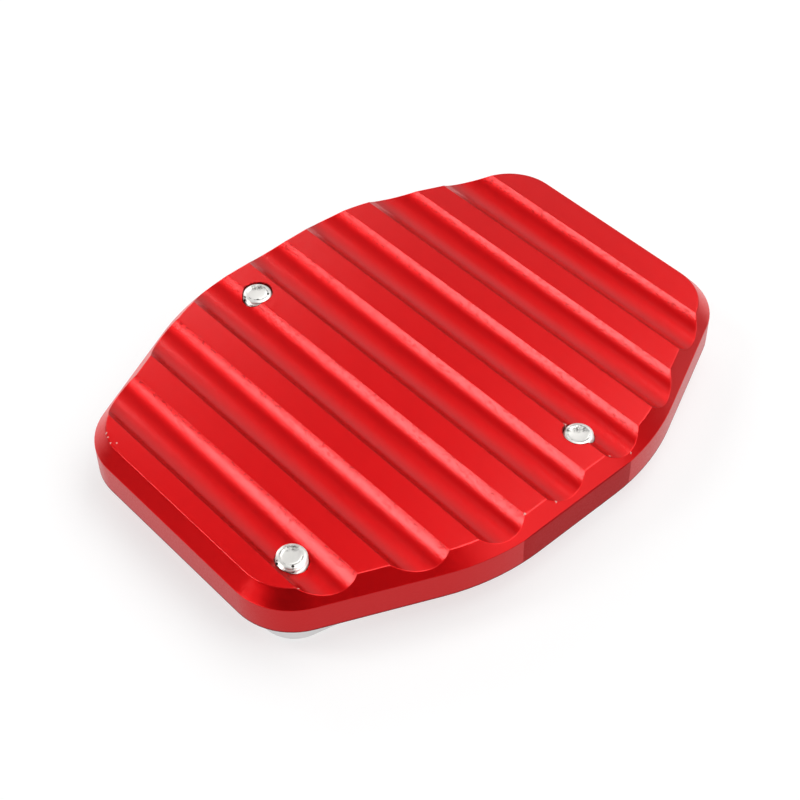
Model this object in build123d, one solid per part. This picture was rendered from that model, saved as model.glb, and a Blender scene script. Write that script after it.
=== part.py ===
from build123d import *
import os

# Kickstand foot enlarger: a grooved sole plate, a clamp plate and three countersunk screws
# Millimetres, with the sole facing up (+Z), X along the plate and Y along the grooves

# Sole plate outline
PLATE_LENGTH = 100.0
PLATE_WIDTH = 77.0
END_WIDTH = 46.8
SIDE_FLAT_LENGTH = 34.5
END_CORNER_RADIUS = 11.2
SIDE_CORNER_RADIUS = 40.0

# Sole plate section
PLATE_THICKNESS = 8.3
CHAMFER_RUN = 2.2
CHAMFER_DROP = 2.65
SOLE_EDGE_ROUND = 0.25
PLATE_EDGE_BREAK = 0.3

# Grip grooves, scooped right across the sole
GROOVE_PITCH = 13.0
GROOVE_WIDTH = 8.45
GROOVE_DEPTH = 1.65
GROOVE_SHIFT = -1.0
END_LAND = 6.5

# Seat for the foot of the stand
SEAT_LENGTH = 52.0
SEAT_WIDTH = 38.0
SEAT_CENTRE_X = -2.0
SEAT_CORNER_RADIUS = 8.0
SEAT_DEPTH = 3.0

# Clamp plate, open at one end for the leg of the stand
CLAMP_THICKNESS = 5.0
CLAMP_WALL = 5.0
CLAMP_LIP = 3.0
CLAMP_EDGE_BREAK = 0.6
ARM_TIP_RADIUS = 4.0
ARM_SETBACK = 3.0
LEG_SLOT_WIDTH = 28.0
LEG_SLOT_END_LIP = 12.0

# Countersunk socket screws
SCREW_DIAMETER = 5.0
SCREW_TIP_CHAMFER = 0.55
SCREW_TIP_BELOW_LAND = 0.05
HEAD_DIAMETER = 9.8
HEAD_RIM = 0.5
HEAD_SUNK = 0.5
SOCKET_ACROSS_FLATS = 3.0
SOCKET_DEPTH = 1.9
EAR_WALL = 1.2

# Screw places, measured in from the edges of the sole plate, the right one seated a little lower
END_SCREW_FROM_END = 9.2
END_SCREW_FROM_CORNER = 5.1
LEFT_SCREW_FROM_SIDE = 9.1
LEFT_SCREW_X = -8.9
RIGHT_SCREW_FROM_SIDE = 8.5
RIGHT_SCREW_X = 8.4
RIGHT_SCREW_LOWER = 0.4

# Clearances
THREAD_CLEARANCE = 0.1
CLAMP_HOLE_CLEARANCE = 0.25
HEAD_CLEARANCE = 0.05
CUT_MARGIN = 1.0

# Heights above the face that the part rests on
SOLE_TOP = CLAMP_THICKNESS + PLATE_THICKNESS
SCREW_TIP = SOLE_TOP - SCREW_TIP_BELOW_LAND

# Seat and clamp places along the plate
SEAT_NEAR_X = SEAT_CENTRE_X - SEAT_LENGTH / 2
SEAT_FAR_X = SEAT_CENTRE_X + SEAT_LENGTH / 2
CLAMP_NEAR_X = SEAT_NEAR_X - CLAMP_WALL
CLAMP_MOUTH_X = SEAT_FAR_X - ARM_SETBACK
LEG_SLOT_END_X = SEAT_NEAR_X + LEG_SLOT_END_LIP

SCREW_PLACES = [
    (END_SCREW_FROM_END - PLATE_LENGTH / 2, END_SCREW_FROM_CORNER - END_WIDTH / 2, 0),
    (LEFT_SCREW_X, PLATE_WIDTH / 2 - LEFT_SCREW_FROM_SIDE, 0),
    (RIGHT_SCREW_X, RIGHT_SCREW_FROM_SIDE - PLATE_WIDTH / 2, -RIGHT_SCREW_LOWER),
]


def at_height(z):
    """Plane parallel to the sole at a given height."""
    return Plane.XY.offset(z)


def sole_outline():
    """Long octagon: two ends, two side flats and four slanting sides, with rounded corners."""
    end_x = PLATE_LENGTH / 2
    end_y = END_WIDTH / 2
    flat_x = SIDE_FLAT_LENGTH / 2
    side_y = PLATE_WIDTH / 2
    corners = [
        (-end_x, -end_y),
        (-flat_x, -side_y),
        (flat_x, -side_y),
        (end_x, -end_y),
        (end_x, end_y),
        (flat_x, side_y),
        (-flat_x, side_y),
        (-end_x, end_y),
    ]
    end, side = END_CORNER_RADIUS, SIDE_CORNER_RADIUS
    radii = [end, side, side, end, end, side, side, end]
    return make_face(FilletPolyline(*corners, radius=radii, close=True))


def seat_outline():
    """Rounded rectangle that the foot of the stand drops into."""
    return Pos(SEAT_CENTRE_X, 0) * RectangleRounded(SEAT_LENGTH, SEAT_WIDTH, SEAT_CORNER_RADIUS)


def grooves():
    """Row of round-bottomed scoops, as many as the plate's length has room for."""
    half_width = GROOVE_WIDTH / 2
    radius = (half_width**2 + GROOVE_DEPTH**2) / (2 * GROOVE_DEPTH)
    room = PLATE_LENGTH - 2 * END_LAND - GROOVE_WIDTH
    count = int(room / GROOVE_PITCH) + 1
    first_x = GROOVE_SHIFT - GROOVE_PITCH * (count - 1) / 2
    centre_z = SOLE_TOP - GROOVE_DEPTH + radius
    cutter = Rot(90, 0, 0) * Cylinder(radius, PLATE_WIDTH + 2 * CUT_MARGIN)
    return [Pos(first_x + GROOVE_PITCH * i, 0, centre_z) * cutter for i in range(count)]


def sole_plate():
    """Chamfered plate with grooves across the sole, the foot seat below and three threaded holes."""
    plate = extrude(at_height(CLAMP_THICKNESS) * sole_outline(), PLATE_THICKNESS)
    sole_face = plate.faces().sort_by(Axis.Z)[-1]
    plate = chamfer(sole_face.edges(), CHAMFER_RUN, CHAMFER_DROP, reference=sole_face)
    chamfer_foot = SOLE_TOP - CHAMFER_DROP
    chamfer_edges = plate.edges().filter_by_position(Axis.Z, chamfer_foot, SOLE_TOP)
    rim_edges = chamfer_edges.filter_by(lambda edge: edge.bounding_box().size.Z < SOLE_EDGE_ROUND)
    plate = fillet(rim_edges, SOLE_EDGE_ROUND)
    plate = chamfer(plate.faces().sort_by(Axis.Z)[0].edges(), PLATE_EDGE_BREAK)
    plate -= grooves()
    plate -= extrude(at_height(CLAMP_THICKNESS) * seat_outline(), SEAT_DEPTH)
    hole_radius = SCREW_DIAMETER / 2 + THREAD_CLEARANCE
    hole = Cylinder(hole_radius, SOLE_TOP + CUT_MARGIN, align=(Align.CENTER, Align.CENTER, Align.MIN))
    plate -= [Pos(x, y, 0) * hole for x, y, _ in SCREW_PLACES]
    return plate


def clamp_outline():
    """Hull round the foot seat and the three screws, with a slot for the leg from the open end."""
    half_width = SEAT_WIDTH / 2 + CLAMP_WALL
    corners = [
        (CLAMP_NEAR_X, -half_width),
        (CLAMP_MOUTH_X, -half_width),
        (CLAMP_MOUTH_X, half_width),
        (CLAMP_NEAR_X, half_width),
    ]
    near_radius = SEAT_CORNER_RADIUS + CLAMP_WALL
    radii = [near_radius, ARM_TIP_RADIUS, ARM_TIP_RADIUS, near_radius]
    border = FilletPolyline(*corners, radius=radii, close=True)
    ear_radius = HEAD_DIAMETER / 2 + EAR_WALL
    ears = [Pos(x, y) * Circle(ear_radius) for x, y, _ in SCREW_PLACES]
    hull_edges = border.edges() + [ear.edge() for ear in ears]
    slot_radius = LEG_SLOT_WIDTH / 2
    slot_length = CLAMP_MOUTH_X + CUT_MARGIN - LEG_SLOT_END_X - slot_radius
    slot_centre = Pos(LEG_SLOT_END_X + slot_radius, 0)
    slot = slot_centre * Rectangle(slot_length, LEG_SLOT_WIDTH, align=(Align.MIN, Align.CENTER))
    slot += slot_centre * Circle(slot_radius)
    return make_hull(hull_edges) - slot


def countersink():
    """Space for one screw through the clamp plate: head rim, cone and shank."""
    hole_radius = SCREW_DIAMETER / 2 + CLAMP_HOLE_CLEARANCE
    head_radius = HEAD_DIAMETER / 2 + HEAD_CLEARANCE
    rim_top = HEAD_SUNK + HEAD_RIM
    profile = [
        (0, -CUT_MARGIN),
        (head_radius, -CUT_MARGIN),
        (head_radius, rim_top),
        (hole_radius, rim_top + head_radius - hole_radius),
        (hole_radius, CLAMP_THICKNESS + CUT_MARGIN),
        (0, CLAMP_THICKNESS + CUT_MARGIN),
    ]
    return revolve(Plane.XZ * make_face(Polyline(*profile, close=True)), Axis.Z)


def clamp_plate():
    """Open-ended plate whose lip holds the foot of the stand down in its seat."""
    plate = extrude(clamp_outline(), CLAMP_THICKNESS)
    plate = chamfer(plate.faces().sort_by(Axis.Z)[0].edges(), CLAMP_EDGE_BREAK)
    plate -= extrude(at_height(CLAMP_LIP) * seat_outline(), CLAMP_THICKNESS - CLAMP_LIP)
    cutter = countersink()
    plate -= [Pos(*place) * cutter for place in SCREW_PLACES]
    return plate


def screw():
    """Countersunk screw with a hexagon socket, head down, and a chamfered tip just under the lands."""
    radius = SCREW_DIAMETER / 2
    head_radius = HEAD_DIAMETER / 2
    rim_top = HEAD_SUNK + HEAD_RIM
    profile = [
        (0, HEAD_SUNK),
        (head_radius, HEAD_SUNK),
        (head_radius, rim_top),
        (radius, rim_top + head_radius - radius),
        (radius, SCREW_TIP - SCREW_TIP_CHAMFER),
        (radius - SCREW_TIP_CHAMFER, SCREW_TIP),
        (0, SCREW_TIP),
    ]
    body = revolve(Plane.XZ * make_face(Polyline(*profile, close=True)), Axis.Z)
    socket = RegularPolygon(SOCKET_ACROSS_FLATS / 2, 6, major_radius=False)
    return body - extrude(at_height(HEAD_SUNK) * socket, SOCKET_DEPTH)


def clamp_screws():
    """The three identical screws in their places."""
    one = screw()
    return Compound([Pos(*place) * one.solid() for place in SCREW_PLACES])


os.makedirs("parts", exist_ok=True)
export_step(sole_plate(), "parts/sole_plate.step")
export_step(clamp_plate(), "parts/clamp_plate.step")
export_step(clamp_screws(), "parts/clamp_screws.step")
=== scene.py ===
import math

import bmesh
import bpy
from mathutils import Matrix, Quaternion, Vector


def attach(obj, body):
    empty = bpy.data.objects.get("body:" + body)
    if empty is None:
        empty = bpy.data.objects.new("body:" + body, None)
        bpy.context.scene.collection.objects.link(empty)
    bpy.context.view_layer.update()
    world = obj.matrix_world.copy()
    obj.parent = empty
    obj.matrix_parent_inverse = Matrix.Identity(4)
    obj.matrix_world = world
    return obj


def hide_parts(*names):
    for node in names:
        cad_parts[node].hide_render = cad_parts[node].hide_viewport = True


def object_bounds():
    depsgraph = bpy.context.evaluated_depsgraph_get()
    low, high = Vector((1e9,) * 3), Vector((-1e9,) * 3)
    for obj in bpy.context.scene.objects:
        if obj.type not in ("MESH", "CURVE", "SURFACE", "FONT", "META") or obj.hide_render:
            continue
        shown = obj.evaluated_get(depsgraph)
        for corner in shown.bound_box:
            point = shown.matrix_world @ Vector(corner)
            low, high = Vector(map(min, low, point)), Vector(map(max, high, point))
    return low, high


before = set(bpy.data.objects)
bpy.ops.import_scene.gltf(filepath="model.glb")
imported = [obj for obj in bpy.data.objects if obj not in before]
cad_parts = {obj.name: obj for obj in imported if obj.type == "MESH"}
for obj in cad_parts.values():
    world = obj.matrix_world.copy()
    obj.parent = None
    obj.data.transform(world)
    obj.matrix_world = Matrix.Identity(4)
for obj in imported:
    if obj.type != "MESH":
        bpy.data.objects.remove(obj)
cad_low, cad_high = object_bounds()

MM = 0.001

# Camera: the photograph's viewing angle in degrees, with its focal length in pixels of a square image
IMAGE_WIDTH = 800
FOCAL_PIXELS = 1744.0
SENSOR_WIDTH = 36.0
CAMERA_AZIMUTH = -41.35
CAMERA_ELEVATION = 46.85
CAMERA_ROLL = -0.95
CAMERA_DISTANCE = 280.2 * MM
CAMERA_AIM = (-7.8 * MM, -5.8 * MM)
CAMERA_NEAR = 10 * MM

# Floor: pale, and greyer beyond the part of it that the camera sees
FLOOR_RADIUS = 3.0
FLOOR_SEGMENTS = 96
FLOOR_MIDDLE = (0.03, 0.03, 0.0)
FLOOR_FADE = (0.16, 0.5)
FLOOR_COLOUR = (0.38, 0.14)
FLOOR_GLOW = (0.65, 0.32)
FLOOR_ROUGHNESS = 0.9
WHITE = (1.0, 1.0, 1.0, 1.0)

# Lamps: azimuth, elevation, half width and half height in degrees as seen from the object, and brightness
LAMP_DISTANCE = 1.2
LAMPS = {
    "key_softbox": (54, 62, 38, 18, 2.2),
    "left_softbox": (-130.5, 45, 8.2, 11.5, 6.6),
    "top_softbox": (60, 80, 26, 14, 1.25),
    "back_panel": (118, 25, 25, 16, 0.42),
    "right_panel": (21, 26, 18, 16, 1.42),
    "side_strip": (-96, 6.5, 16, 5.5, 4.4),
    "rear_panel": (165, 29, 17, 12, 2.55),
}
ROOM_LEVEL = 0.045

# Meshes of the solids: distance at which points are one, and how the plates' normals run over edges
WELD_DISTANCE = 0.001 * MM
PLATE_SHARP = math.radians(20)
NORMAL_WEIGHT = 100

# Screws, as in the solids: heads down in the clamp plate, tips up in the sole plate
SCREW_RADIUS = 2.5 * MM
SCREW_SEGMENTS = 72
SCREW_SHARP = math.radians(35)
HEAD_RADIUS = 4.9 * MM
HEAD_RIM = 0.5 * MM
HEAD_EDGE = 0.12 * MM
SOCKET_FLATS = 3.0 * MM
SOCKET_DEPTH = 1.9 * MM
SOCKET_SIDE = math.radians(60)
SOCKET_FLARE = 1.2

# Thread: the flats on its crest and in its root are shares of the pitch
THREAD_PITCH = 0.8 * MM
THREAD_DEPTH = 0.433 * MM
THREAD_CREST = 0.125
THREAD_ROOT = 0.25
RINGS_PER_PITCH = 12

# Screw tips: rings at shares of the rounding's height, then of the face's radius and the dish's depth
TIP_ROUND_ACROSS = 0.7 * MM
TIP_ROUND_DOWN = 0.4 * MM
TIP_ROUND_STEPS = (0.4, 0.2, 0.1, 0.03, 0.0)
TIP_DISH = 0.12 * MM
TIP_DISH_STEPS = ((0.96, 0.1), (0.9, 0.7), (0.7, 0.9), (0.35, 1.0))

# Ranges of a mask, and the range that most of a noise lies in
NONE_TO_FULL = (0.0, 1.0)
FULL_TO_NONE = (1.0, 0.0)
NOISE_RANGE = (0.3, 0.7)

# Red sole plate: noises as grains in a metre along each axis and detail, relief as strength and depth
RED_GRAIN = (9000, 9000, 9000, 2.0)
RED_SPECK = (2600, 2600, 2600, 2.0)
RED_CLOUD = (60, 60, 60, 3.0)
RED_PITS = (2400, 1200, 2400, 4.0)
RED_RELIEF = (0.36, 0.03 * MM)
SOFT_EDGE = 0.15 * MM
SOFT_SAMPLES = 8

# Where the red finish differs, or shade is painted on it, by the place and by the parts of the surface's
# normal
CHAMFER_DROP = 2.65 * MM
CHAMFER_TILT = 0.68
FLANK_TILT = (0.83, 0.90)
FLANK_SKEW = 0.1
PIT_SHARE = (0.50, 0.66)
STOCK_DEPTH = 0.15 * MM
# Band above the underside where shade is painted along the sole's foot edge
FOOT_SHADE_EDGE = (0.35 * MM, 0.65 * MM)
UNDERSIDE_TILT = -0.9
# Painted shade ring round the mouths of the screw holes
MOUTH_SHADE_RADIUS = 2.8 * MM
MOUTH_SHADE_RAGGED = (0.96, 1.06)
NICK_RAGGED = (0.45, 1.5)
RED_SPOT_SOFT = 0.1

# Bare nicks along the rim of the sole: place on the plate and radius in mm
NICKS = [
    (-46.8, 20.4, 0.14),
    (-47.1, 19.5, 0.12),
    (-47.5, 18.2, 0.13),
    (-46.8, 17.5, 0.12),
    (-9.7, -36.1, 0.17),
    (-3.9, -37.1, 0.15),
    (8.7, -36.4, 0.13),
    (12.4, -37.6, 0.11),
    (-43.9, -23.6, 0.12),
    (8.1, -27.3, 0.20),
]

# Red finish: the two colours that it varies between, and its regions' colours in the order they are laid
# on; those of the near flanks, side walls, foot edge and hole mouths are painted shade, and that of the
# bar's flat faces partly so
RED_COLOURS = ((0.84, 0.0047, 0.0070), (0.89, 0.0053, 0.0079))
RED_REGIONS = {
    # Painted shade along the grooves' near flanks
    "painted_shade_flank": (0.70, 0.0040, 0.0058),
    "pits": (0.52, 0.0036, 0.0050),
    # Painted shade: the side walls darker than the top
    "wall": (0.56, 0.0042, 0.0062),
    # Flat faces of the bar: a rougher raw finish, and a darker red that is partly painted shade
    "stock_and_shade": (0.43, 0.0044, 0.0064),
    # Painted shade along the foot edge, above the underside
    "foot": (0.16, 0.0020, 0.0030),
    # Painted shade round the screw holes' mouths
    "painted_shade_mouth": (0.10, 0.0020, 0.0020),
    "nick": (0.86, 0.48, 0.44),
}
RED_METAL = 0.9
RED_ROUGHNESS = (0.35, 0.45)
STOCK_ROUGHER = 0.15

# Clear coat on the red: what is left of it on the wall and in the pits, and what other regions lose
COAT_ROUGHNESS = 0.17
COAT_IOR = 1.42
COAT_WALL = 0.27
COAT_PITS = 0.4
COAT_LOSS = {"stock_and_shade": 0.22, "painted_shade_flank": 0.75, "chamfer": 0.55}

# Aluminium clamp plate
ALUMINIUM_GRAIN = (7000, 7000, 7000, 2.0)
ALUMINIUM_MARKS = (700, 9000, 9000, 2.0)
ALUMINIUM_CLOUD = (90, 90, 90, 3.0)
ALUMINIUM_RELIEF = (0.15, 0.02 * MM)
ALUMINIUM_COLOURS = ((0.72, 0.73, 0.74), (0.82, 0.82, 0.82))
ALUMINIUM_METAL = 0.9
ALUMINIUM_ROUGHNESS = (0.32, 0.44)

# Plated screws
STEEL_GRAIN = (4200, 4200, 4200, 3.0)
STEEL_BLOTCH = (3300, 3300, 3300, 5.0)
STEEL_PATCH = (900, 900, 900, 2.0)
STEEL_RELIEF = (0.2, 0.03 * MM)
STEEL_COLOUR = (0.94, 0.92, 0.88)
STEEL_METAL = 0.65
STEEL_ROUGHNESS = (0.30, 0.42)

# Smudges on the screw tips: screw, place from its axis and radius in mm
TIP_REACH = 1.5 * MM
SMUDGE_COLOUR = (0.12, 0.11, 0.10)
SMUDGE_SOFT = 0.7
SMUDGE_LEVEL = (0.25, 1.0)
SMUDGE_SHARE = (0.39, 0.61)
SMUDGES = [
    (0, 0.5, 1.6, 0.9),
    (0, 1.25, 0.85, 0.85),
    (1, 0.45, 1.4, 0.75),
    (1, 1.1, 0.8, 0.75),
    (2, 0.6, 1.0, 1.1),
    (2, 1.3, 0.1, 0.7),
    (2, -0.65, 1.6, 0.6),
]

# Broken dark line round the dish of each tip: its two radii, and its level over a range of noise
DISH_LINE = (1.70 * MM, 1.87 * MM)
DISH_LINE_SOFT = 0.05
DISH_LINE_LEVEL = (0.0, 0.9)
DISH_LINE_SHARE = (0.46, 0.58)

# Painted shade at the rims of the screw tips: screw, place from its axis and radius in mm
TIP_SHADE_COLOUR = (0.03, 0.02, 0.02)
TIP_SHADE_SOFT = 0.3
TIP_SHADE_RAGGED = (0.7, 1.3)
TIP_PAINTED_SHADE = [
    (0, -2.3, 0.75, 0.28),
    (0, -1.14, -1.72, 0.24),
    (1, -2.3, 0.7, 0.36),
    (1, -0.94, -1.32, 0.22),
    (1, 1.22, -1.43, 0.26),
]


def link(obj):
    """Puts an object into the scene."""
    bpy.context.scene.collection.objects.link(obj)
    return obj


def direction(azimuth, elevation):
    """Unit vector from the object towards a place, azimuth 0 being -Y and 90 being +X."""
    a, e = math.radians(azimuth), math.radians(elevation)
    return Vector((math.sin(a) * math.cos(e), -math.cos(a) * math.cos(e), math.sin(e)))


def as_share(value):
    """A value, held between none and one."""
    return min(max(value, 0.0), 1.0)


class Surface:
    """A material with one Principled shader, and short ways to feed it."""

    def __init__(self, name):
        self.material = bpy.data.materials.new(name)
        self.material.use_nodes = True
        self.tree = self.material.node_tree
        self.shader = self.tree.nodes["Principled BSDF"]
        coordinates = self.node("ShaderNodeTexCoord")
        self.where = coordinates.outputs["Object"]
        self.facing = coordinates.outputs["Normal"]

    def node(self, kind, operation=None):
        made = self.tree.nodes.new(kind)
        if operation:
            made.operation = operation
        return made

    def feed(self, socket, value):
        """Gives a socket a value, or links it where the value is another socket."""
        if isinstance(value, bpy.types.NodeSocket):
            self.tree.links.new(value, socket)
        else:
            socket.default_value = value

    def shade(self, **values):
        """Feeds the shader's sockets by their names."""
        for name, value in values.items():
            self.feed(self.shader.inputs[name.replace("_", " ")], value)

    def math(self, operation, *values):
        made = self.node("ShaderNodeMath", operation)
        for socket, value in zip(made.inputs, values):
            self.feed(socket, value)
        return made.outputs[0]

    def times(self, first, second):
        return self.math("MULTIPLY", first, second)

    def without(self, mask):
        """What a mask leaves free."""
        return self.math("SUBTRACT", 1.0, mask)

    def parts(self, vector):
        """X, Y and Z of a vector."""
        made = self.node("ShaderNodeSeparateXYZ")
        self.feed(made.inputs[0], vector)
        return made.outputs

    def distance(self, vector, place):
        made = self.node("ShaderNodeVectorMath", "DISTANCE")
        self.feed(made.inputs[0], vector)
        made.inputs[1].default_value = place
        return made.outputs["Value"]

    def noise(self, along_x, along_y, along_z, detail):
        """Noise with so many grains in a metre along each axis."""
        scaled = self.node("ShaderNodeMapping")
        self.feed(scaled.inputs["Vector"], self.where)
        scaled.inputs["Scale"].default_value = (along_x, along_y, along_z)
        made = self.node("ShaderNodeTexNoise")
        self.feed(made.inputs["Vector"], scaled.outputs[0])
        made.inputs["Scale"].default_value = 1.0
        made.inputs["Detail"].default_value = detail
        return made.outputs["Fac"]

    def spread(self, value, target, source=NOISE_RANGE, kind="LINEAR"):
        """Maps a part of a value's range to another range."""
        made = self.node("ShaderNodeMapRange")
        made.interpolation_type = kind
        names = ("From Min", "From Max", "To Min", "To Max")
        for name, number in zip(names, (*source, *target)):
            made.inputs[name].default_value = number
        self.feed(made.inputs["Value"], value)
        return made.outputs["Result"]

    def blend(self, factor, first, second):
        """Colour between two colours."""
        made = self.node("ShaderNodeMix")
        made.data_type = "RGBA"
        sockets = {socket.identifier: socket for socket in made.inputs}
        self.feed(sockets["Factor_Float"], factor)
        for name, colour in (("A_Color", first), ("B_Color", second)):
            linked = isinstance(colour, bpy.types.NodeSocket)
            self.feed(sockets[name], colour if linked else (*colour, 1.0))
        return next(socket for socket in made.outputs if socket.identifier == "Result_Color")

    def bump(self, height, strength, depth, edge=0.0):
        """Normal with fine relief, over edges that look rounded where they are given a radius."""
        made = self.node("ShaderNodeBump")
        made.inputs["Strength"].default_value = strength
        made.inputs["Distance"].default_value = depth
        self.feed(made.inputs["Height"], height)
        if edge:
            soft = self.node("ShaderNodeBevel")
            soft.samples = SOFT_SAMPLES
            soft.inputs["Radius"].default_value = edge
            self.feed(made.inputs["Normal"], soft.outputs["Normal"])
        return made.outputs["Normal"]


def spots(surface, places, soft, ragged=1.0):
    """Mask of places (x, y, radius) in plan, each fading out over a soft share of its ragged radius."""
    plan = surface.node("ShaderNodeVectorMath", "MULTIPLY")
    surface.feed(plan.inputs[0], surface.where)
    plan.inputs[1].default_value = (1, 1, 0)
    mask = None
    for x, y, radius in places:
        away = surface.times(surface.distance(plan.outputs[0], (x, y, 0)), ragged)
        near = surface.spread(away, FULL_TO_NONE, (radius * (1 - soft), radius))
        mask = near if mask is None else surface.math("MAXIMUM", mask, near)
    return mask


def on_tips(axes, marks):
    """Places in plan of marks that are given from the axes of the screws."""
    return [(axes[i][0] + x * MM, axes[i][1] + y * MM, radius * MM) for i, x, y, radius in marks]


def groove_sides(surface, steep):
    """Mask of the grooves' sloping sides."""
    _, facing_y, facing_z = surface.parts(surface.facing)
    sloping = surface.spread(facing_z, FULL_TO_NONE, FLANK_TILT, "SMOOTHSTEP")
    along = surface.math("LESS_THAN", surface.math("ABSOLUTE", facing_y), FLANK_SKEW)
    return surface.times(surface.times(sloping, along), surface.without(steep))


def sole_regions(surface, holes, underside, grain, speck):
    """Masks of the sole plate's regions where its finish differs, and where shade is painted."""
    _, y, z = surface.parts(surface.where)
    facing_x, _, facing_z = surface.parts(surface.facing)
    # Side walls below the chamfers, painted darker as shade
    wall = surface.math("LESS_THAN", z, cad_high.z - CHAMFER_DROP)
    steep = surface.math("LESS_THAN", facing_z, CHAMFER_TILT)
    sides = groove_sides(surface, steep)
    pitted = surface.spread(surface.noise(*RED_PITS), NONE_TO_FULL, PIT_SHARE)
    low = surface.spread(z, FULL_TO_NONE, [underside + height for height in FOOT_SHADE_EDGE])
    mouths = [(*hole, MOUTH_SHADE_RADIUS) for hole in holes]
    nicks = [(nick_x * MM, nick_y * MM, radius * MM) for nick_x, nick_y, radius in NICKS]
    nick = spots(surface, nicks, RED_SPOT_SOFT, surface.spread(grain, NICK_RAGGED))
    return {
        "wall": wall,
        "chamfer": surface.times(steep, surface.without(wall)),
        # painted shade on the grooves' near flanks, those facing +X
        "painted_shade_flank": surface.times(sides, surface.math("GREATER_THAN", facing_x, 0.0)),
        "pits": surface.times(sides, pitted),
        # flat faces of the bar, darker partly as painted shade
        "stock_and_shade": surface.math("GREATER_THAN", surface.math("ABSOLUTE", y), cad_high.y - STOCK_DEPTH),
        # painted shade along the foot edge, not on the underside itself
        "foot": surface.times(low, surface.math("GREATER_THAN", facing_z, UNDERSIDE_TILT)),
        # painted shade round the screw holes' mouths
        "painted_shade_mouth": spots(surface, mouths, RED_SPOT_SOFT, surface.spread(speck, MOUTH_SHADE_RAGGED)),
        "nick": surface.times(nick, surface.without(wall)),
    }


def clear_coat(surface, regions):
    """Weight of the coat over the red."""
    coat = surface.spread(regions["wall"], (1.0, COAT_WALL), NONE_TO_FULL)
    for name, loss in COAT_LOSS.items():
        coat = surface.math("SUBTRACT", coat, surface.times(regions[name], loss))
    coat = surface.times(coat, surface.spread(regions["pits"], (1.0, COAT_PITS), NONE_TO_FULL))
    # No coat on the painted shade of the foot edge and round the hole mouths
    bare = surface.math("MAXIMUM", regions["painted_shade_mouth"], regions["foot"])
    return surface.times(coat, surface.without(bare))


def red_anodised(holes, underside):
    """Coated red metal of the sole plate, with its wear, and with painted shade on its near groove flanks,
    side walls, foot edge and hole mouths.
    """
    surface = Surface("red_anodised")
    grain = surface.noise(*RED_GRAIN)
    speck = surface.noise(*RED_SPECK)
    regions = sole_regions(surface, holes, underside, grain, speck)
    red = surface.blend(surface.noise(*RED_CLOUD), *RED_COLOURS)
    for name, colour in RED_REGIONS.items():
        red = surface.blend(regions[name], red, colour)
    metal = surface.spread(regions["nick"], (RED_METAL, 0.0), NONE_TO_FULL)
    rougher = surface.times(regions["stock_and_shade"], STOCK_ROUGHER)
    rough = surface.math("ADD", surface.spread(speck, RED_ROUGHNESS), rougher)
    normal = surface.bump(surface.math("ADD", grain, speck), *RED_RELIEF, SOFT_EDGE)
    surface.shade(Base_Color=red, Metallic=metal, Roughness=rough, Normal=normal)
    surface.shade(Coat_Weight=clear_coat(surface, regions), Coat_Normal=normal)
    surface.shade(Coat_Roughness=COAT_ROUGHNESS, Coat_IOR=COAT_IOR, Specular_IOR_Level=0.0)
    return surface.material


def machined_aluminium():
    """Natural metal of the clamp plate, with fine machining marks along it."""
    surface = Surface("silver_aluminium")
    grain = surface.noise(*ALUMINIUM_GRAIN)
    marks = surface.noise(*ALUMINIUM_MARKS)
    silver = surface.blend(surface.noise(*ALUMINIUM_CLOUD), *ALUMINIUM_COLOURS)
    rough = surface.spread(grain, ALUMINIUM_ROUGHNESS)
    normal = surface.bump(surface.math("ADD", grain, marks), *ALUMINIUM_RELIEF)
    surface.shade(Base_Color=silver, Metallic=ALUMINIUM_METAL, Roughness=rough, Normal=normal)
    return surface.material


def tip_dirt_and_shade(surface, axes):
    """Masks of the smudges and the dark line round each dish, and of the painted shade at the tips' rims.
    """
    blotch = surface.noise(*STEEL_BLOTCH)
    patch = surface.noise(*STEEL_PATCH)
    smudge = spots(surface, on_tips(axes, SMUDGES), SMUDGE_SOFT)
    smudge = surface.times(smudge, surface.spread(blotch, SMUDGE_LEVEL, SMUDGE_SHARE))
    discs = [[(*axis, radius) for axis in axes] for radius in DISH_LINE]
    inner, outer = (spots(surface, disc, DISH_LINE_SOFT) for disc in discs)
    broken = surface.spread(patch, DISH_LINE_LEVEL, DISH_LINE_SHARE)
    line = surface.times(surface.math("SUBTRACT", outer, inner), broken)
    smudge = surface.math("MAXIMUM", smudge, line)
    # painted shade at the rims of the tips
    painted_tip_shade = spots(surface, on_tips(axes, TIP_PAINTED_SHADE), TIP_SHADE_SOFT, surface.spread(blotch, TIP_SHADE_RAGGED))
    height = surface.parts(surface.where)["Z"]
    at_tip = surface.math("GREATER_THAN", height, cad_high.z - TIP_REACH)
    return surface.times(smudge, at_tip), surface.times(painted_tip_shade, at_tip)


def plated_steel(axes):
    """Bright plated steel of the screws, with smudges and painted shade on the tips."""
    surface = Surface("screw_steel")
    grain = surface.noise(*STEEL_GRAIN)
    smudge, painted_tip_shade = tip_dirt_and_shade(surface, axes)
    steel = surface.blend(smudge, STEEL_COLOUR, SMUDGE_COLOUR)
    # painted shade at the rims of the tips
    steel = surface.blend(painted_tip_shade, steel, TIP_SHADE_COLOUR)
    rough = surface.spread(grain, STEEL_ROUGHNESS)
    normal = surface.bump(grain, *STEEL_RELIEF)
    surface.shade(Base_Color=steel, Metallic=STEEL_METAL, Roughness=rough, Normal=normal)
    return surface.material


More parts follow.
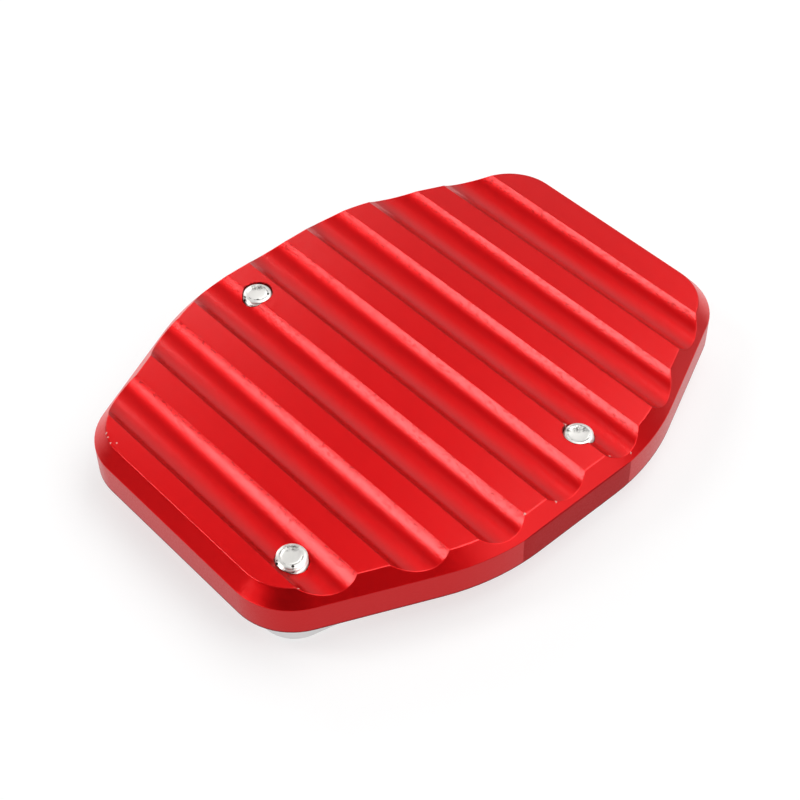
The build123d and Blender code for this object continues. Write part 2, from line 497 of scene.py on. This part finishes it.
def islands(obj):
    """Lowest and highest corner of each separate solid in a node's mesh."""
    bm = bmesh.new()
    bm.from_mesh(obj.data)
    bmesh.ops.remove_doubles(bm, verts=bm.verts, dist=WELD_DISTANCE)
    left = set(bm.verts)
    boxes = []
    while left:
        todo = [left.pop()]
        points = []
        while todo:
            vert = todo.pop()
            points.append(vert.co.copy())
            for edge in vert.link_edges:
                other = edge.other_vert(vert)
                if other in left:
                    left.remove(other)
                    todo.append(other)
        low = Vector([min(p[i] for p in points) for i in range(3)])
        high = Vector([max(p[i] for p in points) for i in range(3)])
        boxes.append((low, high))
    bm.free()
    return sorted(boxes, key=lambda box: box[0].x)


def rim_radius(z, tip):
    """Radius of the elliptic rounding at the tip's rim."""
    share = max(1 - (tip - z) / TIP_ROUND_DOWN, 0.0)
    return SCREW_RADIUS - TIP_ROUND_ACROSS * (1 - math.sqrt(1 - share**2))


def thread_radius(angle, z, foot, tip):
    """Radius of a 60 degree thread that fades in above the head and is cut by the tip's rounding."""
    phase = (z / THREAD_PITCH - angle / (2 * math.pi)) % 1.0
    from_crest = 1 - abs(phase - 0.5) * 2
    sunk = as_share((from_crest - THREAD_CREST) / (1 - THREAD_ROOT - THREAD_CREST))
    fade = as_share((z - foot) / THREAD_PITCH)
    return min(SCREW_RADIUS - THREAD_DEPTH * sunk * fade, rim_radius(z, tip))


def hexagon_radius(angle):
    """Radius of the socket's hexagon."""
    return SOCKET_FLATS / 2 / math.cos(angle % SOCKET_SIDE - SOCKET_SIDE / 2)


def screw_rings(low, tip):
    """Rings of (radius at an angle, height) from the floor of the socket round to the tip's face."""
    top_of_rim = low + HEAD_RIM
    foot = top_of_rim + HEAD_RADIUS - SCREW_RADIUS
    rings = [
        (hexagon_radius, low + SOCKET_DEPTH),
        (hexagon_radius, low + HEAD_EDGE),
        (lambda angle: SOCKET_FLATS / 2 * SOCKET_FLARE, low),
        (lambda angle: HEAD_RADIUS - HEAD_EDGE, low),
        (lambda angle: HEAD_RADIUS, low + HEAD_EDGE),
        (lambda angle: HEAD_RADIUS, top_of_rim),
        (lambda angle: SCREW_RADIUS, foot),
    ]
    step = THREAD_PITCH / RINGS_PER_PITCH
    for i in range(1, int((tip - TIP_ROUND_DOWN / 2 - foot) / step)):
        z = foot + i * step
        rings.append((lambda angle, z=z: thread_radius(angle, z, foot, tip), z))
    for share in TIP_ROUND_STEPS:
        z = tip - TIP_ROUND_DOWN * share
        rings.append((lambda angle, z=z: rim_radius(z, tip), z))
    face = SCREW_RADIUS - TIP_ROUND_ACROSS
    for share, dip in TIP_DISH_STEPS:
        rings.append((lambda angle, share=share: face * share, tip - TIP_DISH * dip))
    return rings


def add_screw(bm, centre, low, tip):
    """One closed screw on its axis."""
    angles = [2 * math.pi * i / SCREW_SEGMENTS for i in range(SCREW_SEGMENTS)]
    rows = []
    for radius, z in screw_rings(low, tip):
        row = []
        for angle in angles:
            r = radius(angle)
            row.append(bm.verts.new((centre.x + r * math.cos(angle), centre.y + r * math.sin(angle), z)))
        rows.append(row)
    socket_floor = bm.verts.new((centre.x, centre.y, low + SOCKET_DEPTH))
    tip_middle = bm.verts.new((centre.x, centre.y, tip - TIP_DISH))
    for i in range(SCREW_SEGMENTS):
        j = (i + 1) % SCREW_SEGMENTS
        bm.faces.new((socket_floor, rows[0][i], rows[0][j]))
        bm.faces.new((tip_middle, rows[-1][j], rows[-1][i]))
        for below, above in zip(rows, rows[1:]):
            bm.faces.new((below[i], above[i], above[j], below[j]))


def threaded_screws(boxes, material):
    """The three screws with their threads, on the axes of the solids."""
    bm = bmesh.new()
    for low, high in boxes:
        add_screw(bm, (low + high) / 2, low.z, high.z)
    bmesh.ops.recalc_face_normals(bm, faces=bm.faces)
    mesh = bpy.data.meshes.new("threaded_screws")
    bm.to_mesh(mesh)
    bm.free()
    mesh.materials.append(material)
    mesh.shade_smooth()
    mesh.set_sharp_from_angle(angle=SCREW_SHARP)
    obj = link(bpy.data.objects.new("threaded_screws", mesh))
    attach(obj, "root")
    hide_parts("clamp_screws")


def dress(node, material):
    """Gives a node its material, and normals that run on smoothly from each face to the next."""
    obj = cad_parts[node]
    obj.data.materials.clear()
    obj.data.materials.append(material)
    obj.modifiers.new("weld", "WELD").merge_threshold = WELD_DISTANCE
    obj.modifiers.new("edges", "EDGE_SPLIT").split_angle = PLATE_SHARP
    obj.modifiers.new("normals", "WEIGHTED_NORMAL").weight = NORMAL_WEIGHT


def pale_floor():
    """Matt floor that shows some white of its own to the camera and to reflections."""
    surface = Surface("floor")
    away = surface.distance(surface.where, FLOOR_MIDDLE)
    shade = surface.spread(away, FLOOR_COLOUR, FLOOR_FADE, "SMOOTHSTEP")
    glow = surface.spread(away, FLOOR_GLOW, FLOOR_FADE, "SMOOTHSTEP")
    path = surface.node("ShaderNodeLightPath")
    seen = surface.math("MAXIMUM", path.outputs["Is Camera Ray"], path.outputs["Is Glossy Ray"])
    seen = surface.math("MAXIMUM", seen, path.outputs["Is Transmission Ray"])
    surface.shade(Base_Color=shade, Roughness=FLOOR_ROUGHNESS, Specular_IOR_Level=0.0)
    surface.shade(Emission_Color=WHITE, Emission_Strength=surface.times(glow, seen))
    return surface.material


def floor():
    """Plain round floor that takes the object's shadow."""
    mesh = bpy.data.meshes.new("floor")
    bm = bmesh.new()
    bmesh.ops.create_circle(bm, cap_ends=True, segments=FLOOR_SEGMENTS, radius=FLOOR_RADIUS)
    bm.to_mesh(mesh)
    bm.free()
    mesh.materials.append(pale_floor())
    obj = link(bpy.data.objects.new("floor", mesh))
    obj.location.z = cad_low.z


def room():
    """Dim room round the lamps."""
    world = bpy.data.worlds.new("room")
    bpy.context.scene.world = world
    world.use_nodes = True
    background = world.node_tree.nodes["Background"]
    background.inputs["Color"].default_value = (ROOM_LEVEL, ROOM_LEVEL, ROOM_LEVEL, 1.0)


def lamp(name, azimuth, elevation, half_width, half_height, level):
    """Area lamp that faces the object, with the brightness that its face shows."""
    data = bpy.data.lights.new(name, "AREA")
    data.shape = "RECTANGLE"
    data.size = 2 * LAMP_DISTANCE * math.tan(math.radians(half_width))
    data.size_y = 2 * LAMP_DISTANCE * math.tan(math.radians(half_height))
    data.energy = level * data.size * data.size_y * math.pi
    obj = link(bpy.data.objects.new(name, data))
    back = direction(azimuth, elevation)
    obj.location = back * LAMP_DISTANCE
    obj.rotation_mode = "QUATERNION"
    obj.rotation_quaternion = back.to_track_quat("Z", "Y")
    obj.visible_camera = False


def camera():
    """Camera at the photograph's viewing angle, aimed at the sole's plane."""
    data = bpy.data.cameras.new("camera")
    data.sensor_width = SENSOR_WIDTH
    data.lens = FOCAL_PIXELS / IMAGE_WIDTH * SENSOR_WIDTH
    data.clip_start = CAMERA_NEAR
    obj = link(bpy.data.objects.new("camera", data))
    back = direction(CAMERA_AZIMUTH, CAMERA_ELEVATION)
    obj.location = Vector((*CAMERA_AIM, cad_high.z)) + back * CAMERA_DISTANCE
    roll = Quaternion((0, 0, 1), math.radians(CAMERA_ROLL))
    obj.rotation_mode = "QUATERNION"
    obj.rotation_quaternion = (-back).to_track_quat("-Z", "Y") @ roll
    bpy.context.scene.camera = obj


screw_boxes = islands(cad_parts["clamp_screws"])
screw_axes = [((low.x + high.x) / 2, (low.y + high.y) / 2) for low, high in screw_boxes]
sole_underside = min(corner[2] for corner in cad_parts["sole_plate"].bound_box)
dress("sole_plate", red_anodised(screw_axes, sole_underside))
dress("clamp_plate", machined_aluminium())
threaded_screws(screw_boxes, plated_steel(screw_axes))
floor()
room()
for lamp_name, lamp_values in LAMPS.items():
    lamp(lamp_name, *lamp_values)
camera()
bpy.context.scene.view_settings.view_transform = "Standard"
